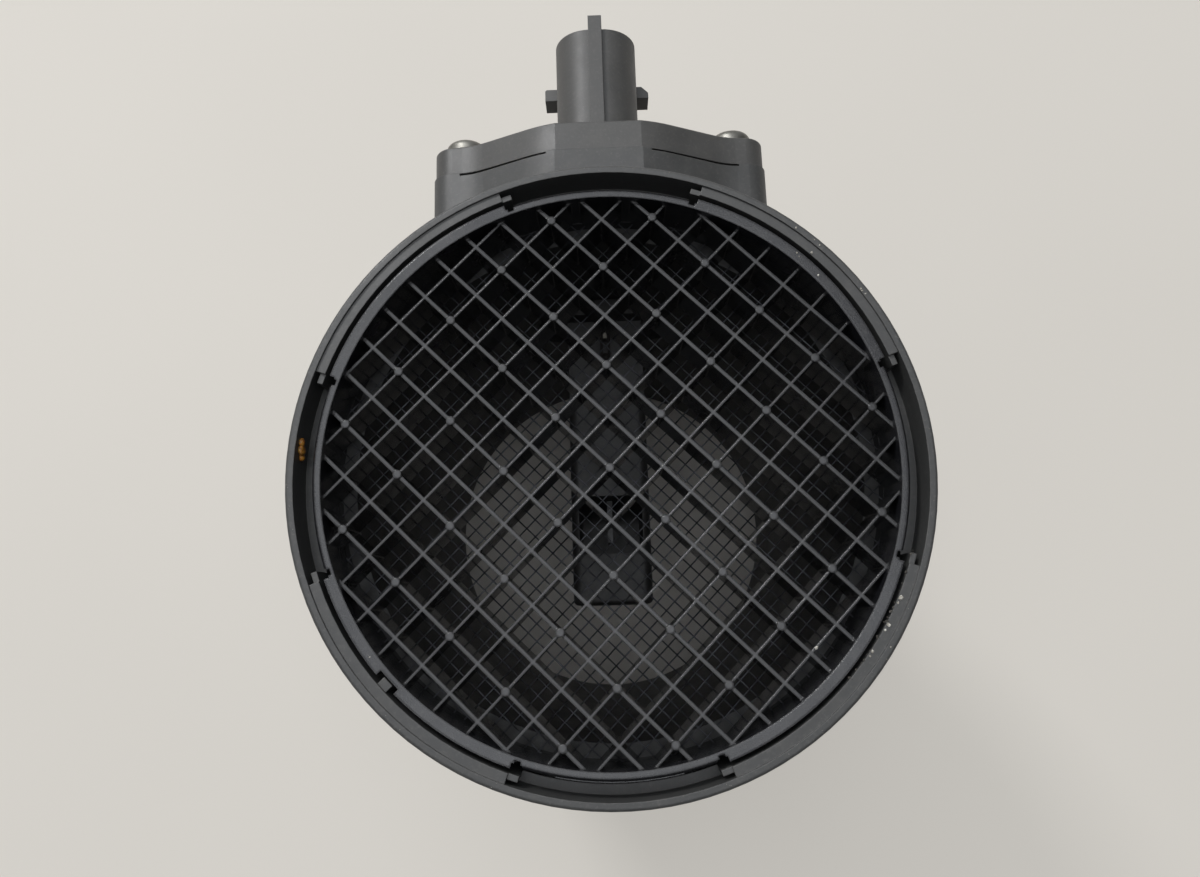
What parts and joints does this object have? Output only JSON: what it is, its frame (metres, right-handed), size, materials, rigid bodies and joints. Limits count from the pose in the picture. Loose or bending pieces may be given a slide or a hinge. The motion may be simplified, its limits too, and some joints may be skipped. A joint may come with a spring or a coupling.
{
  "type": "mass airflow sensor",
  "caption": "Plug-in hot-film mass airflow sensor in a round plastic duct, with a snap-in inlet grid, a fine screen and a side connector.",
  "frame": {"origin": "centre of the outlet end of the duct, on the duct axis and in the plane of the outlet face", "axes": "+Z along the duct axis from the outlet to the inlet, +Y towards the plug-in head and its connector, +X to the right seen from the inlet with the head up"},
  "size_m": [0.0892, 0.1342, 0.1],
  "materials": {
    "housing_plastic": "moulded glass-filled PBT, satin, charcoal",
    "grid_plastic": "moulded glass-filled PBT, satin, near black",
    "sensor_plastic": "moulded glass-filled PBT, satin, charcoal",
    "screen_wire": "fine dark wire, sooted",
    "screw_steel": "zinc-plated steel",
    "seal_rubber": "moulded rubber, matte",
    "plate_aluminium": "stamped aluminium",
    "board_ceramic": "printed ceramic board",
    "chip_black": "moulded epoxy",
    "silicon": "polished silicon",
    "pin_tin": "tin-plated copper alloy",
    "thermistor_glaze": "glazed thermistor bead on wire leads"
  },
  "bodies": {
    "root": {"tube_housing": "housing_plastic", "flow_grid": "grid_plastic", "wire_screen": "screen_wire", "sensor_body": "sensor_plastic", "bypass_cover": "sensor_plastic", "electronics_cover": "sensor_plastic", "base_plate": "plate_aluminium", "circuit_board": "board_ceramic", "control_chip": "chip_black", "capacitor_1": "board_ceramic", "capacitor_2": "board_ceramic", "chip_holder": "chip_black", "sensor_chip": "silicon", "temperature_sensor": "thermistor_glaze", "o_ring": "seal_rubber", "screw_left": "screw_steel", "screw_right": "screw_steel", "terminal_1": "pin_tin", "terminal_2": "pin_tin", "terminal_3": "pin_tin", "terminal_4": "pin_tin", "terminal_5": "pin_tin"}
  },
  "joints": []
}
